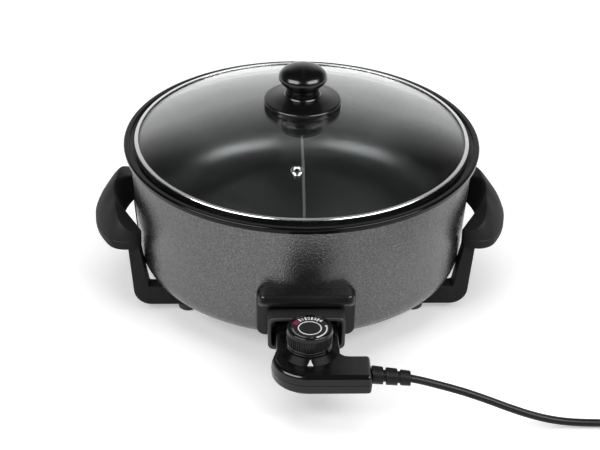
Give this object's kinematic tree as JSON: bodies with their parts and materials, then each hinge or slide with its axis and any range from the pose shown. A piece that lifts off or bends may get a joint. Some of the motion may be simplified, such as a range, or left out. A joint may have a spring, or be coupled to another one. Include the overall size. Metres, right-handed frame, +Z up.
{
  "type": "electric grill pan",
  "caption": "Deep round electric pan with a loose domed glass lid, side handles with legs, a front socket and a pull-out thermostat plug with a turning dial and cord",
  "frame": {"origin": "On the table plane under the middle of the part's box, cord left out; the pan's own axis stands 47 mm behind it", "axes": "Z up from the table, Y from the thermostat plug at the front to the back, X to the right seen from the front"},
  "size_m": [0.6164, 0.4542, 0.2495],
  "materials": {
    "nonstick": "black non-stick coating",
    "hammertone": "grey speckled hammertone paint",
    "steel": "plain",
    "polished_steel": "polished",
    "sheath": "heat-darkened",
    "brass": "plain",
    "ceramic": "unglazed",
    "black_moulding": "satin heat-resistant moulding",
    "gloss_moulding": "glossy heat-resistant moulding",
    "rubber": "matt",
    "glass": "clear toughened"
  },
  "bodies": {
    "pan": {"inner_pan": "nonstick", "housing": "hammertone", "pan_studs": "steel", "base_screws": "steel", "heating_element": "sheath", "element_clamps": "steel", "probe_guide": "steel", "terminal_pins": "brass", "socket_plate": "black_moulding", "socket_shroud": "black_moulding", "socket_screws": "steel", "handle_left": "black_moulding", "handle_right": "black_moulding", "handle_screws": "steel", "handle_nuts": "steel", "foot_front_left": "rubber", "foot_front_right": "rubber", "foot_rear_left": "rubber", "foot_rear_right": "rubber"},
    "lid": {"lid_glass": "glass", "lid_band": "polished_steel", "vent_eyelet": "polished_steel", "knob_grip": "gloss_moulding", "knob_flange": "gloss_moulding", "knob_gasket": "rubber", "knob_cup": "gloss_moulding", "knob_screw": "steel"},
    "thermostat": {"plug_top": "gloss_moulding", "plug_bottom": "gloss_moulding", "plug_screws": "steel", "probe_rod": "steel", "pin_sockets": "brass", "thermostat_block": "ceramic", "bimetal_blade": "brass", "contact_blade": "brass", "cord_clamp": "steel", "cord_boot": "rubber", "cord_lead": "rubber", "cord_coil": "rubber", "cord_tie": "black_moulding", "cord_tail": "rubber", "mains_plug": "black_moulding", "mains_pins": "brass"},
    "dial": {"dial_knob": "gloss_moulding", "dial_disc": "gloss_moulding", "dial_spindle": "steel"}
  },
  "joints": [
    {"name": "lid_lift", "type": "slide", "parent": "pan", "child": "lid", "axis": [0, 0, 1], "range_m": [0, 0.15]},
    {"name": "thermostat_pull", "type": "slide", "parent": "pan", "child": "thermostat", "axis": [0, -1, 0], "range_m": [0, 0.09]},
    {"name": "dial_turn", "type": "hinge", "parent": "thermostat", "child": "dial", "pos_m": [0.001, -0.18313, 0.09], "axis": [0, 0, -1], "range_deg": [0, 270]}
  ]
}
